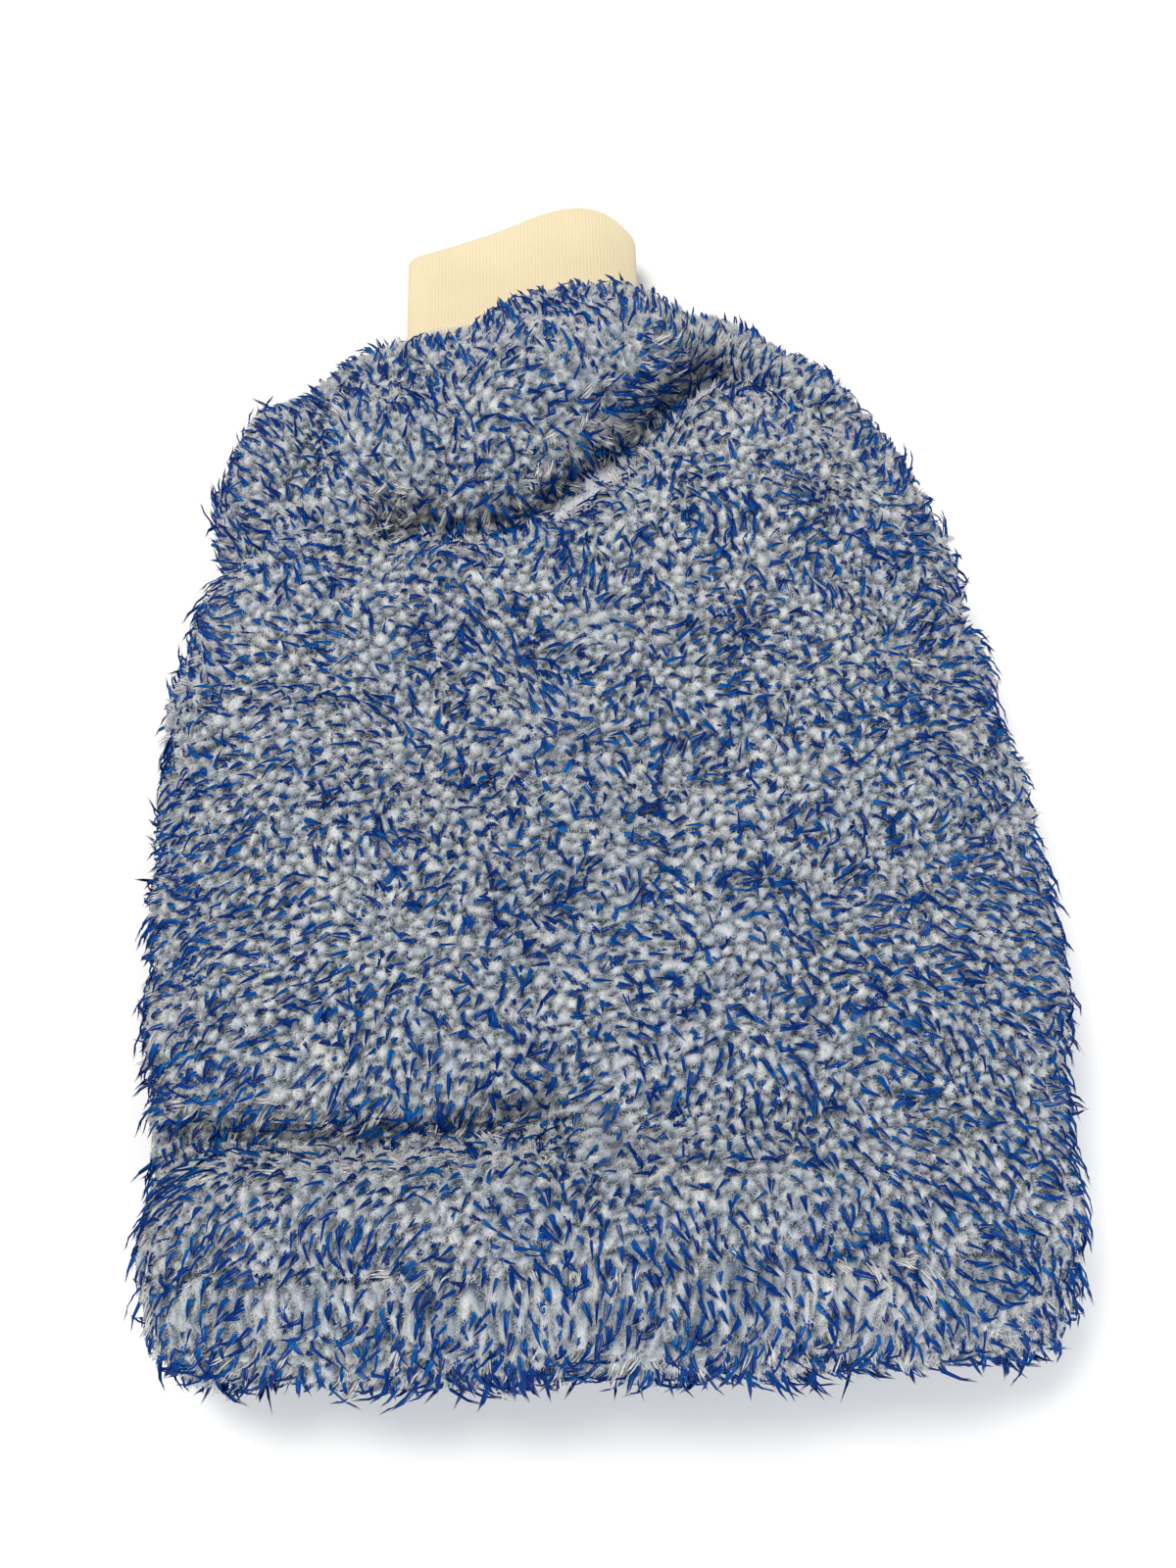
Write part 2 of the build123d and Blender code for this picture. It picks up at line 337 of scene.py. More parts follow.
def pile_material():
    """White microfibre: warm white at the tip, fine streaks; near black and cooler towards the root and in
    the gaps between puffs, a painted shade.
    """
    material, tree, shader = new_material("white_microfibre")
    # painted shade: low along values (roots, gaps between puffs) go dark and bluish
    along = ramp(
        tree,
        attribute(tree, "along"),
        [
            (0.0, (0.02, 0.035, 0.07)),
            (0.3, (0.11, 0.145, 0.20)),
            (0.6, (0.45, 0.485, 0.52)),
            (1.0, (0.92, 0.90, 0.84)),
        ],
    )
    tint = ramp(
        tree,
        attribute(tree, "tone"),
        [(0.0, (0.80, 0.83, 0.90)), (0.5, (0.94, 0.94, 0.94)), (1.0, (1.0, 0.985, 0.94))],
    )
    colour = mix(tree, 1.0, along, tint, "MULTIPLY")
    fibres = noise_texture(tree, 1500.0, 4.0, 0.6)
    streak = ramp(tree, fibres, [(0.3, (0.82, 0.83, 0.86)), (0.7, (1.0, 1.0, 1.0))])
    colour = mix(tree, 1.0, colour, streak, "MULTIPLY")
    tree.links.new(colour, shader.inputs["Base Color"])
    shader.inputs["Roughness"].default_value = 0.95
    shader.inputs["Specular IOR Level"].default_value = 0.15
    shader.inputs["Sheen Weight"].default_value = 0.35
    shader.inputs["Sheen Roughness"].default_value = 0.6
    bump(tree, shader, fibres, 0.6, 0.0006)
    return material


def bristle_material():
    """Blue nylon: mid blue where a bundle fans out, navy where it draws together at its tip."""
    material, tree, shader = new_material("blue_bristle")
    along = ramp(
        tree,
        attribute(tree, "along"),
        [(0.45, (0.004, 0.14, 0.45)), (0.7, (0.001, 0.055, 0.29)), (1.0, (0.0004, 0.014, 0.11))],
    )
    tint = ramp(
        tree,
        attribute(tree, "tone"),
        [(0.0, (0.4, 0.5, 0.7)), (0.6, (1.0, 1.0, 1.0)), (1.0, (2.6, 1.9, 1.3))],
    )
    colour = mix(tree, 1.0, along, tint, "MULTIPLY")
    mottle = noise_texture(tree, 900.0, 2.0)
    shade = ramp(tree, mottle, [(0.35, (0.75, 0.78, 0.85)), (0.7, (1.1, 1.1, 1.1))])
    colour = mix(tree, 1.0, colour, shade, "MULTIPLY")
    tree.links.new(colour, shader.inputs["Base Color"])
    shader.inputs["Roughness"].default_value = 0.5
    shader.inputs["Specular IOR Level"].default_value = 0.08
    return material


def cloth_material(name, colour, weave=2600.0, contrast=0.12):
    """Plain knitted or woven cloth with fine noise and bump."""
    material, tree, shader = new_material(name)
    grain = noise_texture(tree, weave, 3.0)
    dark = tuple(c * (1 - contrast) for c in colour)
    tree.links.new(ramp(tree, grain, [(0.3, dark), (0.7, colour)]), shader.inputs["Base Color"])
    shader.inputs["Roughness"].default_value = 0.9
    shader.inputs["Sheen Weight"].default_value = 0.2
    bump(tree, shader, grain, 0.4, 0.0002)
    return material


def cuff_material():
    """Cream rib knit with a faint stitch pattern and soft mottling; darker in the ribs' valleys than on
    their crests, a painted shade.
    """
    material, tree, shader = new_material("cream_rib_knit")
    # painted shade: the ribs' valleys darker than their crests
    rib = ramp(
        tree,
        attribute(tree, "rib"),
        [(0.0, (0.72, 0.605, 0.385)), (0.6, (0.78, 0.665, 0.43)), (1.0, (0.80, 0.685, 0.45))],
    )
    broad = noise_texture(tree, 60.0, 3.0)
    cloud = ramp(tree, broad, [(0.35, (0.95, 0.94, 0.92)), (0.65, (1.0, 1.0, 1.0))])
    colour = mix(tree, 1.0, rib, cloud, "MULTIPLY")
    grain = noise_texture(tree, 3200.0, 3.0)
    fleck = ramp(tree, grain, [(0.3, (0.93, 0.92, 0.9)), (0.65, (1.0, 1.0, 1.0))])
    colour = mix(tree, 1.0, colour, fleck, "MULTIPLY")
    tree.links.new(colour, shader.inputs["Base Color"])
    shader.inputs["Roughness"].default_value = 0.88
    shader.inputs["Sheen Weight"].default_value = 0.25
    bump(tree, shader, grain, 0.35, 0.0002)
    return material


WHITE = pile_material()
BLUE = bristle_material()
BACKING = cloth_material("knit_backing", (0.62, 0.64, 0.68))
LINING = cloth_material("pocket_lining", (0.74, 0.73, 0.69), 3200.0)
FOAM = cloth_material("foam_padding", (0.80, 0.77, 0.66), 1400.0, 0.3)
THREAD = cloth_material("sewing_thread", (0.80, 0.76, 0.66), 5000.0, 0.25)
ELASTIC = cloth_material("elastic_band", (0.76, 0.72, 0.62), 4000.0, 0.2)
CUFF = cuff_material()


# --------------------------------------------------------------- the body's form, read from the CAD backing
def cad_cast(name, start, heading):
    """Where a ray first meets a CAD node."""
    found, place, _, _ = frame["nodes"][name].ray_cast(Vector(start), Vector(heading))
    if not found:
        raise RuntimeError(f"no {name} at {start}")
    return place


def body_slice(y):
    """Centre x, half width, rise and drop of the backing at one y."""
    far = 0.3
    z = MID_Z + 0.3 * MM
    right = cad_cast("top_backing", (far, y, z), (-1, 0, 0)).x
    left = cad_cast("top_backing", (-far, y, z), (1, 0, 0)).x
    centre = (left + right) / 2
    top = cad_cast("top_backing", (centre, y, far), (0, 0, -1)).z
    under = cad_cast("bottom_backing", (centre, y, -far), (0, 0, 1)).z
    return centre, (right - left) / 2, top - MID_Z, MID_Z - under


RINGS = 64
AROUND = 96
END_RINGS = 7
BOXINESS = 2.35


def body_rings():
    """Rows of points round the body from the throat to the finger end."""
    rows = []
    first, last = THROAT_Y - 0.5 * MM, TIP_Y + 3 * MM
    widest = max(body_slice(y)[1] for y in (-60 * MM, -40 * MM, -20 * MM))
    for i in range(RINGS):
        y = first + (last - first) * (i / (RINGS - 1)) ** 0.96
        centre, half, rise, drop = body_slice(y)
        square = float(smooth(last + 70 * MM, last, y))
        rows.append((y, centre, half + (0.97 * widest - half) * square, rise, drop))
    y, centre, half, rise, drop = rows[-1]
    rise = max(rise, 15 * MM)
    for i in range(1, END_RINGS + 1):
        turn = i / END_RINGS * math.pi / 2
        narrow = half * (1 - 0.05 * math.sin(turn) ** 3)
        keep = math.cos(turn)
        rows.append((y - 6 * MM * math.sin(turn), centre, narrow, rise * keep, drop * keep))
    return rows


def body_points():
    points = []
    for y, centre, half, rise, drop in body_rings():
        for k in range(AROUND):
            turn = 2 * math.pi * k / AROUND
            c, s = math.cos(turn), math.sin(turn)
            across = math.copysign(abs(c) ** (2 / BOXINESS), c)
            up = math.copysign(abs(s) ** (2 / BOXINESS), s)
            points.append((centre + half * across, y, MID_Z + (rise if s > 0 else drop) * up))
    return np.array(points)


# creases and bulges seen from above: points in mm, then half width and depth in mm
TOP_CREASES = [
    ([(-10, 40), (4, 52), (19, 68), (34, 81)], 8, 12),
    ([(-46, 36), (-28, 34), (-10, 40)], 7, 12),
    ([(-85, -101), (-50, -103), (-14, -101)], 7, 9),
    ([(-14, -101), (60, -97)], 9, 2.5),
    ([(-10, 40), (-8, 20), (-14, 0)], 10, 4),
    ([(60, 40), (74, 10), (70, -20)], 9, 2.5),
    ([(-60, 0), (-35, -18), (-20, -45)], 10, 3),
    ([(20, -30), (45, -48), (80, -52)], 10, 3),
    ([(-40, 70), (-30, 55), (-34, 44)], 7, 4),
]
TOP_BULGES = [
    ([(-46, 58), (-23, 64), (5, 74)], 12, 6),
    ([(-92, -118), (0, -121), (90, -119)], 11, 3.5),
    ([(40, 55), (58, 30)], 18, 3),
    ([(-66, -60), (-70, -30)], 18, 2),
]
EDGE_CREASES = [
    ([(-63, 73), (-67, 55), (-80, 32)], 7, 8),
    ([(32, 79), (42, 71), (53, 61)], 6, 7),
]


def groove(points, path, width, depth, sharp=1.35):
    """Depth of a valley along a line of points seen from above; sharp 2 is round, 1 a V."""
    flat = points[:, :2]
    nearest = np.full(len(points), 1e9)
    for (x0, y0), (x1, y1) in zip(path[:-1], path[1:]):
        a, b = np.array([x0, y0]) * MM, np.array([x1, y1]) * MM
        t = np.clip(((flat - a) @ (b - a)) / ((b - a) @ (b - a)), 0, 1)
        nearest = np.minimum(nearest, np.linalg.norm(flat - (a + t[:, None] * (b - a)), axis=1))
    return depth * MM * np.exp(-((nearest / (width * MM)) ** sharp))


def sculpt(points, normals, amount):
    """Pushes a surface in along its creases and out where it bulges."""
    top = smooth(0.0, 0.5, normals[:, 2])
    creases = [groove(points, path, width, depth) for path, width, depth in TOP_CREASES]
    shift = -top * np.max(creases, axis=0)
    for path, width, height in TOP_BULGES:
        shift += top * groove(points, path, width, height, 2.0)
    for path, width, depth in EDGE_CREASES:
        shift -= groove(points, path, width, depth)
    shift += top * 1.3 * MM * waves(points, 60 * MM, 11)
    shift += 0.9 * MM * waves(points, 24 * MM, 12)
    return points + normals * (shift * amount)[:, None]


SIDEWAYS_SHARE = 0.35  # how much of the cloth's sideways movement is kept
LARGEST_MOVE = 4 * MM
CLOTH_FRAMES = 20


def inflate(piece, pinned):
    """Cloth under a little pressure, so that the pocket's panels crown as sewn cloth does."""
    before = np.array([v.co for v in piece.data.vertices])
    group = piece.vertex_groups.new(name="sewn")
    group.add([int(i) for i in pinned], 1.0, "REPLACE")
    cloth = piece.modifiers.new("Cloth", "CLOTH")
    cloth.settings.quality = 5
    cloth.settings.mass = 0.3
    cloth.settings.use_pressure = True
    cloth.settings.uniform_pressure_force = 3.0
    cloth.settings.effector_weights.gravity = 0.0
    cloth.settings.vertex_group_mass = "sewn"
    cloth.settings.tension_stiffness = 25
    cloth.settings.bending_stiffness = 2.0
    cloth.point_cache.frame_start = 1
    cloth.point_cache.frame_end = CLOTH_FRAMES
    for number in range(1, CLOTH_FRAMES + 1):
        bpy.context.scene.frame_set(number)
    graph = bpy.context.evaluated_depsgraph_get()
    after = np.array([v.co for v in piece.evaluated_get(graph).data.vertices])
    piece.modifiers.remove(cloth)
    bpy.context.scene.frame_set(1)
    move = (after - before) * [SIDEWAYS_SHARE, SIDEWAYS_SHARE, 1.0]
    far = np.linalg.norm(move, axis=1, keepdims=True)
    return before + move * np.minimum(1, LARGEST_MOVE / np.maximum(far, 1e-9))


def vertex_normals(mesh):
    values = np.empty(len(mesh.vertices) * 3)
    mesh.vertices.foreach_get("normal", values)
    return values.reshape(-1, 3)


def set_points(mesh, points):
    mesh.vertices.foreach_set("co", np.asarray(points, np.float32).ravel())
    mesh.update()


SKIN_SHARE, PILE_SHARE = 0.4, 0.95  # how deep the folds go into the skin, and into the pile on it


def build_skin():
    """The backing cloth's outer face: one closed pouch, open at the throat."""
    rows = RINGS + END_RINGS
    skin = make_mesh("skin", body_points(), grid_faces(rows, AROUND), BACKING)
    set_points(skin.data, inflate(skin, range(AROUND)))
    points = np.array([v.co for v in skin.data.vertices])
    points = sculpt(points, vertex_normals(skin.data), SKIN_SHARE)
    # the collar runs aslant: it reaches further along the cuff on the right
    near = smooth(THROAT_Y - 45 * MM, THROAT_Y, points[:, 1])
    beside = points[:, 0] - CUFF_X
    near = near * (1 - smooth(18 * MM, 38 * MM, beside))
    points[:, 1] += 0.30 * np.maximum(beside, -52 * MM) * near
    set_points(skin.data, points)
    return skin


# --------------------------------------------------------------- pile
PILE_RISE = 10.6 * MM
FINER_ALONG, FINER_AROUND = 6, 8
SEAM_Z = 13 * MM


def refine(grid):
    """A grid of rows round the body, made finer both ways."""
    grid = np.concatenate([grid, grid[:, :1]], axis=1)
    t = (np.arange(FINER_AROUND) / FINER_AROUND)[:, None]
    grid = grid[:, :-1, None] * (1 - t) + grid[:, 1:, None] * t
    grid = grid.reshape(len(grid), -1, 3)
    s = (np.arange(FINER_ALONG) / FINER_ALONG)[:, None, None]
    fine = grid[:-1, None] * (1 - s) + grid[1:, None] * s
    return np.concatenate([fine.reshape(-1, grid.shape[1], 3), grid[-1:]])


def grid_normals(grid):
    """Outward normals of a closed-round grid."""
    around = np.roll(grid, -1, axis=1) - np.roll(grid, 1, axis=1)
    along = np.gradient(grid, axis=0)
    return unit(np.cross(around, along))


def pile_grids(skin):
    """The fine skin, and above it the level that the pile reaches, with its folds."""
    points = np.array([v.co for v in skin.data.vertices]).reshape(-1, AROUND, 3)
    normals = vertex_normals(skin.data).reshape(-1, AROUND, 3)
    end = smooth(len(points) - END_RINGS - 1, len(points) - 1, np.arange(len(points)))
    normals[:, :, 2] *= (1 - end)[:, None]
    normals[:, :, 1] -= 0.6 * end[:, None]
    inner, out = refine(points), unit(refine(unit(normals)))
    rows = np.arange(len(inner))[:, None] / FINER_ALONG
    length = np.linalg.norm(np.diff(points, axis=0), axis=2).mean(1).mean() * rows
    hem = np.sqrt(np.clip(1 - (1 - np.clip(length / (7.5 * MM), 0, 1)) ** 2, 0, 1))
    rise = PILE_RISE * (0.06 + 0.94 * hem) * (1 - 0.25 * smooth(24 * MM, 0, length))
    outer = inner + out * rise[..., None]
    flat, facing = outer.reshape(-1, 3), out.reshape(-1, 3)
    flat = sculpt(flat, facing, PILE_SHARE)
    # the upper pile rolls over the seam and hangs a little beyond the lower one
    side = smooth(0.75, 0.2, np.abs(facing[:, 2]))
    seam = np.exp(-(((flat[:, 2] - SEAM_Z) / (3 * MM)) ** 2))
    flat = flat - facing * (side * seam * 6 * MM)[:, None]
    outer = flat.reshape(outer.shape)
    return inner, outer, grid_normals(outer)


def sample(grids, count, seed, weight=None):
    """Random places over the last grid but one, spread evenly by area."""
    rng = np.random.default_rng(seed)
    shape = grids[1]
    across = np.roll(shape, -1, axis=1)[:-1] - shape[:-1]
    down = shape[1:] - shape[:-1]
    area = np.linalg.norm(np.cross(across, down), axis=2)
    if weight is not None:
        area = area * weight[:-1]
    area = area.ravel()
    cell = np.searchsorted(np.cumsum(area) / area.sum(), rng.random(count))
    cell = np.minimum(cell, len(area) - 1)
    row, column = cell // shape.shape[1], cell % shape.shape[1]
    after = (column + 1) % shape.shape[1]
    u, v = rng.random((count, 1)), rng.random((count, 1))
    picked = []
    for grid in grids:
        near = grid[row, column] * (1 - u) + grid[row, after] * u
        far = grid[row + 1, column] * (1 - u) + grid[row + 1, after] * u
        picked.append(near * (1 - v) + far * v)
    return picked


def grid_area(grid):
    across = np.roll(grid, -1, axis=1)[:-1] - grid[:-1]
    return np.linalg.norm(np.cross(across, grid[1:] - grid[:-1]), axis=2).sum()


def spread_out(picked, spacing):
    """Thins sampled places until none is nearer to another than about one spacing."""
    tree = KDTree(len(picked[1]))
    for i, place in enumerate(picked[1]):
        tree.insert(place, i)
    tree.balance()
    alive = np.ones(len(picked[1]), bool)
    for i, place in enumerate(picked[1]):
        if alive[i]:
            for _, j, _ in tree.find_range(place, spacing * 0.8):
                if j > i:
                    alive[j] = False
    return [p[alive] for p in picked]


CROWN = np.array([0.004, 0.0, 0.0])  # where the pile parts


def comb(places, facing, seed, patchy):
    """The way the pile leans: outwards from the crown, with patches that wander."""
    out = places - CROWN
    out[:, 2] = 0
    out[:, 0] /= HALF_WIDTH
    out[:, 1] /= 0.14
    reach = np.linalg.norm(out, axis=1)
    heading = unit(out * np.array([1, 1.1, 0]))
    lean = heading * (0.15 + smooth(0.45, 1.0, reach) * 0.85)[:, None]
    patch = np.stack([waves(places, 30 * MM, seed + k) for k in range(3)], axis=1)
    lean = lean + patchy * patch
    # round the edges the pile hangs down, and towards the cuff it lies along the cuff
    steep = 1 - smooth(0.0, 0.8, np.abs(facing[:, 2]))
    lean[:, 2] -= 0.35 * steep
    near_cuff = smooth(THROAT_Y - 30 * MM, THROAT_Y, places[:, 1])
    lean[:, 1] += 1.2 * near_cuff
    lean -= facing * (lean * facing).sum(1, keepdims=True)
    return lean


def rest_on_floor(paths, clearance):
    """The pile under the mitt is pressed flat: no point goes below the floor."""
    z = paths[..., 2]
    paths[..., 2] = np.where(z < clearance, clearance + 0.12 * MM * np.tanh((z - clearance) / MM), z)
    return paths


def regions(places, rows, columns):
    """Splits the pile into pieces: a collar by the cuff, and blocks of the rest."""
    start = THROAT_Y - 14 * MM
    span = start - TIP_Y + 14 * MM
    row = np.clip(((start - places[:, 1]) / span * rows).astype(int), 0, rows - 1)
    reach = 2 * HALF_WIDTH
    column = ((places[:, 0] + HALF_WIDTH) / reach * columns).astype(int)
    column = np.clip(column, 0, columns - 1)
    top = places[:, 2] > MID_Z
    names = [
        f"{'top' if t else 'under'}_{r}_{c}" if t else f"under_{r // 2}_{2 * c // columns}"
        for t, r, c in zip(top, row, column)
    ]
    names = np.array(names, dtype=object)
    names[places[:, 1] > start] = "collar"
    return names


def finish_pile(pieces, nodes):
    """Every patch follows the mitt and the CAD nodes that it stands for."""
    for piece in pieces.values():
        follow(piece)
    if nodes:
        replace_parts(next(iter(pieces.values())), *nodes)


PUFF_SPACING = 2.3 * MM


def puff(outer, normals):
    """Makes the pile's surface a mass of small soft puffs, and says how high each point is."""
    total = int(grid_area(outer) / PUFF_SPACING**2 * 2.0)
    seeds = spread_out(sample([outer, outer], total, 22), PUFF_SPACING)[1]
    rng = np.random.default_rng(23)
    tall, tone = rng.normal(0, 1, len(seeds)), rng.random(len(seeds))
    tree = KDTree(len(seeds))
    for i, place in enumerate(seeds):
        tree.insert(place, i)
    tree.balance()
    flat, facing = outer.reshape(-1, 3), normals.reshape(-1, 3)
    wander = np.stack([waves(flat, 3.1 * MM, 50 + k) for k in range(3)], axis=1)
    look = flat + wander * 0.35 * MM
    nearest = np.empty(len(flat), int)
    edge = np.empty(len(flat))
    for i, place in enumerate(look):
        (_, a, near), (_, _, far) = tree.find_n(place, 2)
        nearest[i], edge[i] = a, far - near
    dome = np.sqrt(np.clip(edge / (1.7 * MM), 0, 1))
    height = dome * (1.9 + 0.5 * tall[nearest]) * MM - 0.5 * MM
    height += 0.35 * MM * waves(flat, 9 * MM, 61)
    tone = np.clip(tone + 0.18 * waves(seeds, 16 * MM, 62), 0, 1)
    grown = rest_on_floor(flat + facing * height[:, None], 0.5 * MM)
    shape = outer.shape[:2]
    return grown.reshape(outer.shape), dome.reshape(shape), tone[nearest].reshape(shape)


def pile_blocks(grown, dome, tone):
    """The puffed outer surface as patches that meet edge to edge and cover the backing."""
    rows, columns = grown.shape[:2]
    cuts = np.linspace(0, rows - 1, 4).astype(int)
    arcs = [(0, columns // 4), (columns // 4, columns // 2), (columns // 2, columns)]
    pieces = {}
    for b, (r0, r1) in enumerate(zip(cuts[:-1], cuts[1:])):
        for a, (c0, c1) in enumerate(arcs):
            pick = np.arange(c0, c1 + 1) % columns
            block = grown[r0 : r1 + 1][:, pick]
            name = f"pile_{'collar_' if b == 0 else ''}block_{b}_{a}"
            faces = grid_faces(block.shape[0], block.shape[1], closed=False)
            piece = make_mesh(name, block.reshape(-1, 3), faces, WHITE)
            # painted shade: the pile's colour darkens from each puff's crown down into the gaps between
            # puffs
            low = 0.75 * dome[r0 : r1 + 1][:, pick].ravel()
            tint = tone[r0 : r1 + 1][:, pick].ravel()
            for label, values in (("along", low), ("tone", tint)):
                attribute = piece.data.attributes.new(label, "FLOAT", "POINT")
                attribute.data.foreach_set("value", values.astype(np.float32))
            pieces[name] = piece
    finish_pile(pieces, ["top_pile", "bottom_pile"])


FIBRES_PER_MM2 = 5.5
UNDER_SHARE = 0.16


def plant_fibres(outer, normals, dome, tone):
    """Fine white fibres that stand all over the puffs, fewer in the gaps between them."""
    weight = np.where(normals[..., 2] > -0.4, 1.0, UNDER_SHARE) * (0.15 + 0.85 * dome)
    across = np.roll(outer, -1, axis=1)[:-1] - outer[:-1]
    area = np.linalg.norm(np.cross(across, outer[1:] - outer[:-1]), axis=2)
    count = int((area * weight[:-1]).sum() / MM**2 * FIBRES_PER_MM2)
    grids = [dome[..., None], outer, normals, tone[..., None]]
    raised, places, facing, tint = sample(grids, count, 24, weight)
    facing = unit(facing)
    rng = np.random.default_rng(25)
    lean = comb(places, facing, 30, 0.25)
    curl = np.stack([waves(places, 2.6 * MM, 70 + k) for k in range(3)], axis=1)
    heading = unit(facing * 0.9 + lean * 0.35 + curl * 0.30 + rng.normal(0, 0.32, places.shape))
    size = rng.uniform(0.6, 1.5, count) * MM
    start = places - heading * 0.25 * MM
    ends = rest_on_floor(np.stack([start, start + heading * size[:, None]]), 0.35 * MM)
    radii = rng.uniform(0.10, 0.17, count) * MM
    tone = np.clip(0.6 * tint[:, 0] + 0.4 * rng.random(count), 0, 1)
    # painted shade: fibres rooted low in the gaps between puffs start darker
    base = np.clip(0.15 + 0.55 * raised[:, 0], 0, 1)
    names = regions(places, 5, 3)
    pieces = {}
    for label in sorted(set(names)):
        mine = names == label
        pieces[label] = fibre_mesh(
            f"fibres_{label}", ends[0][mine], ends[1][mine], radii[mine], tone[mine], base[mine], WHITE, 40
        )
    finish_pile(pieces, [])


LOCK_SHARES = np.array([0.0, 0.4, 0.75, 1.0])
LOCK_TAPER = np.array([1.0, 1.05, 0.8])
LOCK_STRANDS = 11
# painted shade: the white material darkens the locks' lower rings, deep in the pile
LOCK_HEIGHTS = np.array([0.45, 0.7, 0.9, 1.0])  # how near the pile's surface each ring is


def plant_locks(grids):
    """Longer white locks that hang over the rolled edges and over the cuff."""
    inner, outer, normals = grids
    edge = (normals[..., 2] < 0.62) & (normals[..., 2] > -0.35)
    collar = outer[..., 1] > THROAT_Y - 12 * MM
    weight = (edge | collar).astype(float)
    picked = spread_out(sample([inner, outer, normals], 26000, 26, weight), 2.5 * MM)
    _, places, facing = picked
    facing = unit(facing)
    rng = np.random.default_rng(27)
    count = len(places)
    lean = unit(comb(places, facing, 30, 0.2) + rng.normal(0, 0.2, (count, 3)))
    size = rng.uniform(3.6, 7.0, count) * MM
    size *= 1 - 0.35 * smooth(THROAT_Y - 16 * MM, THROAT_Y - 6 * MM, places[:, 1])
    roots = places - facing * 1.2 * MM
    middle = roots + unit(facing * 0.8 + lean * 0.7) * (size * 0.45)[:, None]
    tip = middle + unit(facing * 0.02 + lean) * (size * 0.6)[:, None]
    tip[:, 2] -= 0.15 * size
    t = LOCK_SHARES[None, :, None]
    spine = roots[:, None] * (1 - t) ** 2 + middle[:, None] * 2 * t * (1 - t) + tip[:, None] * t**2
    bundles = []
    for _ in range(LOCK_STRANDS):
        spread = rng.normal(0, 0.62 * MM, (count, 1, 3)) * (1.0 - 0.35 * t)
        stray = rng.normal(0, 0.45 * MM, (count, 1, 3)) * t**2
        bundles.append(spine + spread + stray)
    paths = rest_on_floor(np.concatenate(bundles), 0.4 * MM)
    tone = np.clip(np.tile(rng.random(count), LOCK_STRANDS) + rng.normal(0, 0.1, len(paths)), 0, 1)
    fine = rng.uniform(0.15, 0.27, len(paths)) * MM
    names = np.tile(regions(places, 2, 2), LOCK_STRANDS)
    pieces = {}
    for label in sorted(set(names)):
        mine = names == label
        radii = fine[mine, None] * LOCK_TAPER[None, :]
        pieces[label] = strand_mesh(
            f"locks_{label}", paths[mine], radii, 3, tone[mine], WHITE, 42, LOCK_HEIGHTS
        )
    finish_pile(pieces, [])


TUFT_SPACING = 2.3 * MM
FILAMENTS = 6
FILAMENT_SHARES = np.array([0.0, 0.45, 0.62, 0.82, 1.0])
FILAMENT_TAPER = np.array([1.0, 1.0, 0.95, 0.8])
BUNDLE_SPREAD = np.array([0.3, 0.9, 1.2, 0.75, 0.18])  # a bundle draws together at its tip


def plant_bristles(grids):
    """Blue bristle tufts: flat bundles of filaments that lie over on the white pile."""
    inner, outer, normals = grids
    flat = outer.reshape(-1, 3)
    thick_set = np.clip(0.75 + 0.35 * waves(flat, 34 * MM, 63), 0.3, 1).reshape(outer.shape[:2])
    weight = np.where(normals[..., 2] > -0.4, 1.0, 0.3) * thick_set
    total = int(grid_area(outer) / TUFT_SPACING**2 * 1.9)
    roots, places, facing = spread_out(
        sample([inner, outer, normals], total, 64, weight), TUFT_SPACING
    )
    facing = unit(facing)
    rng = np.random.default_rng(61)
    count = len(places)
    swirl = np.stack([waves(places, 17 * MM, 80 + k) for k in range(3)], axis=1)
    lean = comb(places, facing, 30, 0.40) + 0.30 * swirl + rng.normal(0, 0.33, (count, 3))
    lean = unit(lean - facing * (lean * facing).sum(1, keepdims=True))
    edge = smooth(0.75, 0.1, facing[:, 2])
    collar = smooth(THROAT_Y - 18 * MM, THROAT_Y - 6 * MM, places[:, 1])
    show = (4.5 + 3.6 * edge * (1 - 0.5 * collar)) * MM * rng.uniform(0.55, 1.4, count)
    rising = rng.uniform(0.15, 0.60, count)[:, None]
    over = unit(lean + facing * rising)
    surface = places + facing * 0.7 * MM
    below = places - facing * 1.5 * MM
    first = surface + unit(over + facing * 0.6) * (0.24 * show)[:, None]
    second = first + over * (0.38 * show)[:, None]
    tip = second + unit(over - facing * 0.22) * (0.42 * show)[:, None]
    tip[:, 2] -= 0.10 * show * edge
    spine = np.stack([roots, below, first, second, tip], axis=1)
    across = unit(np.cross(over, facing) + 0.3 * rng.normal(size=(count, 3)))
    width = rng.uniform(0.18, 0.56, count) * MM
    bundles = []
    for k in range(FILAMENTS):
        place = (k / (FILAMENTS - 1) - 0.5) * 2
        spread = across * (width * place)[:, None]
        bundle = spine + spread[:, None] * BUNDLE_SPREAD[None, :, None]
        bundle[:, -1] -= over * (show * rng.uniform(0, 0.22, count))[:, None]
        bundle = bundle + rng.normal(0, 0.08 * MM, (count, 1, 3)) * BUNDLE_SPREAD[None, :, None]
        bundles.append(bundle)
    paths = rest_on_floor(np.concatenate(bundles), 0.5 * MM)
    tone = np.tile(rng.random(count), FILAMENTS)
    tone = np.clip(tone + rng.normal(0, 0.12, len(tone)), 0, 1)
    names = np.tile(regions(places, 3, 2), FILAMENTS)
    thick = rng.uniform(0.13, 0.19, len(paths)) * MM
    pieces = {}
    for label in sorted(set(names)):
        mine = names == label
        radii = thick[mine, None] * FILAMENT_TAPER[None, :]
        pieces[label] = strand_mesh(
            f"bristles_{label}", paths[mine], radii, 3, tone[mine], BLUE, 70, FILAMENT_SHARES
        )
    finish_pile(pieces, ["top_bristles", "bottom_bristles"])


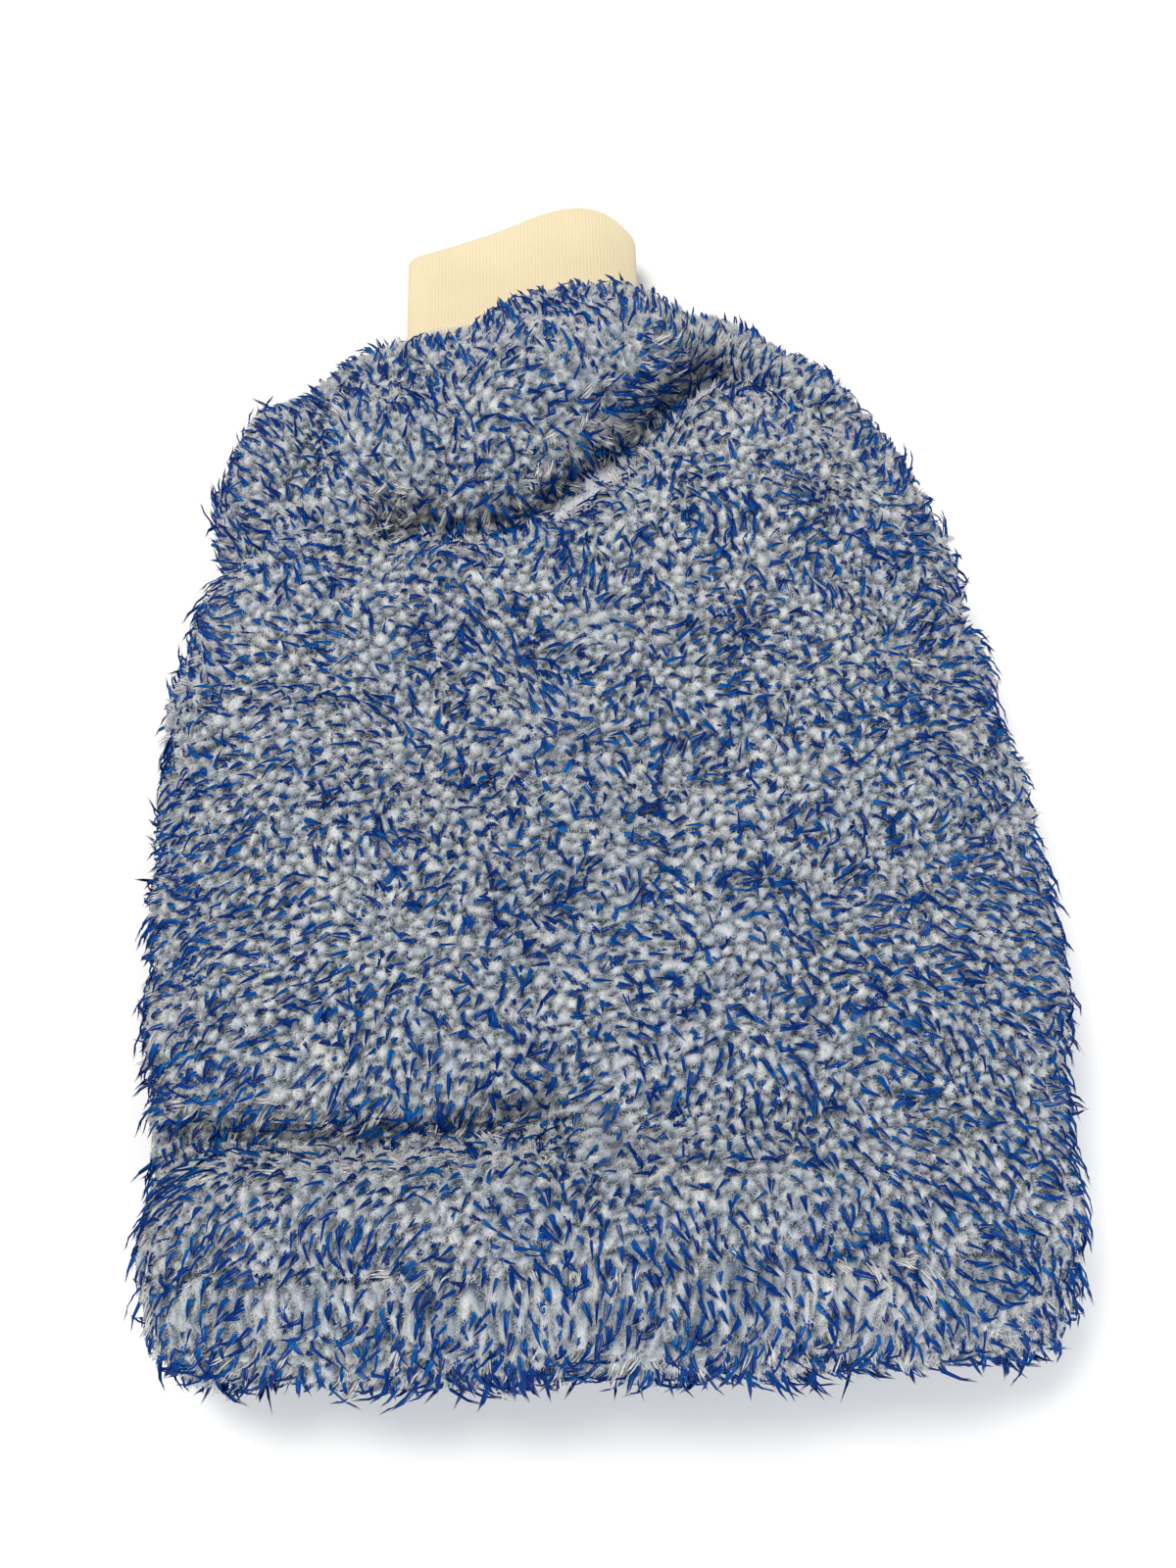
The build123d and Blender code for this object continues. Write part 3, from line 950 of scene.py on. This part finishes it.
def build_pile(skin):
    inner, outer, normals = pile_grids(skin)
    grown, dome, tone = puff(outer, normals)
    pile_blocks(grown, dome, tone)
    plant_fibres(grown, grid_normals(grown), dome, tone)
    plant_locks([inner, outer, normals])
    plant_bristles([inner, outer, normals])


# --------------------------------------------------------------- what is under the pile
SHELLS = [
    # name, material, slot, outer and inner depth under the skin in mm, size it was cut to
    ("backing", BACKING, "backing", 0.0, 1.0, (0.196, 0.250)),
    ("padding", FOAM, "padding", 1.2, 6.0, None),
    ("lining", LINING, "lining", 6.2, 7.0, (0.178, 0.236)),
]


THROAT_RINGS = 3  # the padding and the lining stop this many rings short of the cuff


def skin_grid(skin):
    """The skin's points and normals as rows round the pouch, first column repeated at the end."""
    points = np.array([v.co for v in skin.data.vertices]).reshape(-1, AROUND, 3)
    normals = vertex_normals(skin.data).reshape(-1, AROUND, 3)
    close = lambda grid: np.concatenate([grid, grid[:, :1]], axis=1)
    return close(points), close(normals)


def build_panels(skin):
    """Top and bottom panels: backing cloth, foam and lining, each a closed shell."""
    points, normals = skin_grid(skin)
    rows = len(points) - 2
    halves = {"top": slice(0, AROUND // 2 + 1), "bottom": slice(AROUND // 2, AROUND + 1)}
    for side, columns in halves.items():
        for kind, material, slot, outside, inside, cut in SHELLS:
            first = 0 if kind == "backing" else THROAT_RINGS
            part, out = points[first:rows, columns], normals[first:rows, columns]
            piece = closed_shell(
                f"{side}_{kind}_layer", part - out * outside * MM, part - out * inside * MM, material
            )
            follow(piece)
            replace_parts(piece, f"{side}_{kind}")


def seam_line(skin):
    """Points along the sewn edge: down the left side, round the finger end, up the right."""
    points, normals = skin_grid(skin)
    middle = AROUND // 2
    last = len(points) - 3
    left = points[:last, middle], normals[:last, middle]
    end = points[last, middle : 0 : -4], normals[last, middle : 0 : -4]
    right = points[last - 1 :: -1, 0], normals[last - 1 :: -1, 0]
    line = np.concatenate([left[0], end[0], right[0]])
    out = np.concatenate([left[1], end[1], right[1]])
    out[:, 2] = 0
    return line, unit(out)


def ribbon(name, line, out, start, stop, half_thickness, material):
    """A flat band along the seam line, between two distances out from it."""
    up = np.array([0, 0, half_thickness])
    near, far = line + out * start, line + out * stop
    rows = [near - up, far - up, far + up, near + up]
    grid = np.stack(rows)
    return make_mesh(name, grid.reshape(-1, 3), band_faces(len(line)), material)


def band_faces(length):
    """A closed square-section band: four long sides and two ends."""
    faces = grid_faces(4, length, closed=False, wrap=True)
    faces.append(tuple(r * length for r in range(4)))
    faces.append(tuple(r * length + length - 1 for r in (3, 2, 1, 0)))
    return faces


STITCH_SHARES = np.array([0.0, 0.25, 0.5, 0.75, 1.0])
STITCH_PITCH = 3.2 * MM
SEAM_SKIP = 3  # rings of the skin beside the throat that the seam leaves free


def build_seams(skin):
    """The turned-in seam allowance, the thread through it, and the lining's seam rib."""
    line, out = seam_line(skin)
    line, out = line[SEAM_SKIP:-SEAM_SKIP], out[SEAM_SKIP:-SEAM_SKIP]
    allowance = ribbon("seam_allowance_band", line, out, 0.2 * MM, 3.2 * MM, 1.4 * MM, BACKING)
    follow(allowance)
    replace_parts(allowance, "seam_allowance")
    rib = ribbon("lining_seam_rib", line, out, -8.4 * MM, -7.2 * MM, 0.9 * MM, LINING)
    follow(rib)
    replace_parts(rib, "lining_seam")
    step = np.linalg.norm(np.diff(line, axis=0), axis=1)
    along = np.concatenate([[0], np.cumsum(step)])
    wanted = np.arange(2 * MM, along[-1] - 2 * MM, STITCH_PITCH)
    place = np.stack([np.interp(wanted, along, line[:, k]) for k in range(3)], axis=1)
    away = unit(np.stack([np.interp(wanted, along, out[:, k]) for k in range(3)], axis=1))
    tangent = np.cross(away, [0, 0, 1.0])
    up = np.array([0, 0, 1.0])
    turn = (STITCH_SHARES * 2 - 1) * 1.25
    loops = (
        place[:, None]
        + away[:, None] * (1.7 + 1.8 * np.cos(turn))[None, :, None] * MM
        + up * (1.75 * np.sin(turn))[None, :, None] * MM
        + tangent[:, None] * (STITCH_SHARES - 0.5)[None, :, None] * STITCH_PITCH * 0.7
    )
    radii = np.full((len(loops), 4), 0.28 * MM)
    tone = np.full(len(loops), 0.5)
    stitches = strand_mesh("overlock_stitches", loops, radii, 6, tone, THREAD, 90, STITCH_SHARES)
    follow(stitches)
    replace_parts(stitches, "panel_seam_stitches")


# --------------------------------------------------------------- cuff
RIBS = 150
POINTS_PER_RIB = 4
CUFF_ROWS = 44
RIB_DEPTH = 0.09 * MM


def cuff_ends():
    """Centre z, half width and half height of the CAD cuff at its root and its mouth."""
    co = np.array([v.co for v in frame["nodes"]["cuff_knit"].data.vertices])
    ends = []
    for y in (CUFF_ROOT_Y, CUFF_MOUTH_Y):
        ring = co[np.abs(co[:, 1] - y) < 0.3 * MM]
        low, high = ring.min(0), ring.max(0)
        ends.append(((low[2] + high[2]) / 2, (high[0] - low[0]) / 2, (high[2] - low[2]) / 2))
    return ends


# the mouth's outline from left to right: share of the half width, and mm beyond the CAD mouth
MOUTH_PLACE = np.array([-1.0, -0.65, -0.2, 0.2, 0.42, 0.6, 0.8, 1.0])
MOUTH_REACH = np.array([-7.0, -6.2, -2.6, 2.8, 4.6, 4.6, 2.2, -5.0])


def mouth_wave(x, half):
    """How far the mouth stands beyond the CAD mouth at x: a lazy S from left to right."""
    fine = np.linspace(-1.15, 1.15, 93)
    reach = np.interp(fine, MOUTH_PLACE, MOUTH_REACH)
    soft = np.convolve(np.pad(reach, 5, mode="edge"), np.ones(11) / 11, "valid")
    return np.interp(x / half, fine, soft) * MM


def even_turns(width, height):
    """Angles round the cuff's flattened outline that are evenly spaced along it."""
    turn = np.linspace(0, 2 * math.pi, 4001)
    across = width * np.sign(np.cos(turn)) * np.abs(np.cos(turn)) ** 0.75
    up = height * np.sign(np.sin(turn)) * np.abs(np.sin(turn)) ** 0.75
    step = np.hypot(np.diff(across), np.diff(up))
    along = np.concatenate([[0], np.cumsum(step)]) / step.sum()
    columns = RIBS * POINTS_PER_RIB
    return np.interp(np.arange(columns) / columns, along, turn)


def cuff_layer(shrink, start, stop, rows):
    """Rows of points for one layer of the cuff between two shares of its length."""
    (z0, w0, h0), (z1, w1, h1) = cuff_ends()
    columns = RIBS * POINTS_PER_RIB
    turn = even_turns(w0, h0)
    c, s = np.cos(turn), np.sin(turn)
    across = np.sign(c) * np.abs(c) ** 0.75
    up = np.sign(s) * np.abs(s) ** 0.75
    rib = 0.5 + 0.5 * np.cos(np.arange(columns) * 2 * math.pi / POINTS_PER_RIB)
    points, ribs = [], []
    root_y, mouth_y = CUFF_ROOT_Y - 8 * MM, CUFF_MOUTH_Y
    for i in range(rows):
        share = start + (stop - start) * i / (rows - 1)
        width = 0.96 * (w0 + (w1 - w0) * share) - shrink - RIB_DEPTH * (1 - rib)
        height = h0 + (h1 - h0) * share - shrink - RIB_DEPTH * (1 - rib)
        x = CUFF_X + width * across
        y = root_y + (mouth_y - root_y + mouth_wave(x - CUFF_X, w1)) * share
        sag = 1.3 * MM * np.sin(2.2 * across + 0.6) * share
        z = z0 + (z1 - z0) * share + height * up * (1 - 0.25 * share) + sag * (up > -0.2)
        points.append(np.stack([x, y, z], axis=1))
        ribs.append(rib)
    return points, ribs


def joint_piece(piece, slot, *nodes):
    """A piece by the cuff's joint that keeps its place, with its transform baked in, and stands for some
    CAD nodes.
    """
    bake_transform(piece)
    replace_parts(piece, *nodes)
    return piece


def cuff_turn(a, b, steps, reach):
    """Rows that carry the cloth round from row a to row b at the cuff's mouth."""
    rows = []
    for i in range(1, steps):
        turn = math.pi * i / steps
        out = np.array([0, reach * math.sin(turn), 0])
        rows.append((a + b) / 2 + (a - b) / 2 * math.cos(turn) + out)
    return rows


KNIT = 0.9 * MM
CUFF_DEPTH = 2.7 * MM  # outside of the outer layer to inside of the inner one
FOLD_SHARE = 0.965


def build_cuff():
    """The knit tube, folded back into itself at the mouth: two layers with a space between."""
    columns = RIBS * POINTS_PER_RIB
    outer, ribs = cuff_layer(0.0, 0.0, FOLD_SHARE, CUFF_ROWS)
    inner, _ = cuff_layer(CUFF_DEPTH, FOLD_SHARE, 0.0, CUFF_ROWS)
    back_inner, _ = cuff_layer(CUFF_DEPTH - KNIT, 0.0, FOLD_SHARE, CUFF_ROWS // 3)
    back_outer, _ = cuff_layer(KNIT, FOLD_SHARE, 0.0, CUFF_ROWS // 3)
    fold = cuff_turn(outer[-1], inner[0], 6, 1.4 * MM)
    back_fold = cuff_turn(back_inner[-1], back_outer[0], 3, 0.6 * MM)
    points = np.concatenate([*outer, *fold, *inner, *back_inner, *back_fold, *back_outer])
    rows = len(points) // columns
    faces = grid_faces(rows, columns, flip=True, wrap=True)
    cuff = make_mesh("knit_cuff", points, faces, CUFF)
    attribute = cuff.data.attributes.new("rib", "FLOAT", "POINT")
    attribute.data.foreach_set("value", np.tile(ribs[0], rows).astype(np.float32))
    joint_piece(cuff, "cuff", "cuff_knit", "collar_tape")


BAND_SHARES = (0.30, 0.45, 0.60, 0.75, 0.90)
BAND_HALF = 0.035


def build_elastic():
    """Elastic bands between the cuff's two layers."""
    columns = RIBS * POINTS_PER_RIB
    points, faces = [], []
    for share in BAND_SHARES:
        rows = []
        for shrink, at in ((1.1, -1), (1.1, 1), (1.5, 1), (1.5, -1)):
            ring, _ = cuff_layer(shrink * MM, share + at * BAND_HALF, 1.0, 2)
            rows.append(ring[0][::POINTS_PER_RIB])
        base = sum(len(r) for r in points)
        count = columns // POINTS_PER_RIB
        for face in grid_faces(4, count, flip=True, wrap=True):
            faces.append(tuple(base + i for i in face))
        points += rows
    bands = make_mesh("elastic_bands", np.concatenate(points), faces, ELASTIC)
    joint_piece(bands, "elastic", "cuff_elastic_bands")


def build_cuff_seams():
    """The cuff tube's closing seam, and the thread that sews the cuff to the throat."""
    columns = RIBS * POINTS_PER_RIB
    inside, _ = cuff_layer(3.0 * MM, 0.02, 0.93, 24)
    line = np.array([row[columns // 2] for row in inside])
    out = np.tile([1.0, 0, 0], (len(line), 1))
    seam = ribbon("cuff_closing_seam", line, out, 0.0, 0.9 * MM, 1.5 * MM, CUFF)
    joint_piece(seam, "cuff", "cuff_side_seam")
    near, _ = cuff_layer(-0.35 * MM, 0.16, 0.23, 5)
    pick = np.arange(0, columns, POINTS_PER_RIB)
    turn = np.linspace(0, math.pi, 5)
    loops = np.stack([row[pick] for row in near], axis=1)
    loops[:, :, 0] += 0.5 * MM * np.cos(turn)[None, :]
    radii = np.full((len(loops), 4), 0.25 * MM)
    tone = np.full(len(loops), 0.5)
    stitches = strand_mesh("collar_stitches", loops, radii, 6, tone, THREAD, 91, STITCH_SHARES)
    joint_piece(stitches, "thread", "cuff_join_stitches")


# --------------------------------------------------------------- stage, light, camera
def build_stage():
    floor = make_mesh("floor", [(-3, -3, 0), (3, -3, 0), (3, 3, 0), (-3, 3, 0)], [(0, 1, 2, 3)])
    material, _, shader = new_material("pale_floor")
    shader.inputs["Base Color"].default_value = (0.9, 0.9, 0.9, 1)
    shader.inputs["Roughness"].default_value = 0.9
    floor.data.materials.append(material)


def area_light(name, place, target, size, power, colour=(1, 1, 1)):
    data = bpy.data.lights.new(name, "AREA")
    data.shape = "DISK"
    data.size = size
    data.energy = power
    data.color = colour
    light = bpy.data.objects.new(name, data)
    light.location = place
    light.rotation_euler = (Vector(target) - Vector(place)).to_track_quat("-Z", "Y").to_euler()
    bpy.context.scene.collection.objects.link(light)


def build_light():
    world = bpy.data.worlds.new("soft_studio")
    bpy.context.scene.world = world
    world.use_nodes = True
    background = world.node_tree.nodes["Background"]
    background.inputs["Color"].default_value = (0.93, 0.96, 1.0, 1)
    background.inputs["Strength"].default_value = 0.62
    area_light("key", (-0.35, 0.3, 1.2), (0, 0, 0), 0.5, 11.5, (1.0, 0.97, 0.92))
    area_light("fill", (0.35, -1.0, 0.6), (0, 0, 0), 0.8, 7.5, (0.96, 0.98, 1.0))


ELEVATION = 70.0
AZIMUTH = -2.0
LENS = 36.0
DISTANCE = 0.361
TARGET = Vector((-0.0035, -0.021, 0.026))


def build_camera():
    data = bpy.data.cameras.new("camera")
    data.sensor_width = 36
    data.lens = LENS
    camera = bpy.data.objects.new("camera", data)
    a, e = math.radians(AZIMUTH), math.radians(ELEVATION)
    back = Vector((math.sin(a) * math.cos(e), -math.cos(a) * math.cos(e), math.sin(e)))
    camera.location = TARGET + back * DISTANCE
    camera.rotation_euler = (-back).to_track_quat("-Z", "Y").to_euler()
    data.clip_start = 0.01
    bpy.context.scene.collection.objects.link(camera)
    bpy.context.scene.camera = camera


build_stage()
build_light()
build_camera()
bpy.context.scene.view_settings.view_transform = "Standard"
skin = build_skin()
build_pile(skin)
build_panels(skin)
build_seams(skin)
build_cuff()
build_elastic()
build_cuff_seams()
bpy.data.objects.remove(skin)
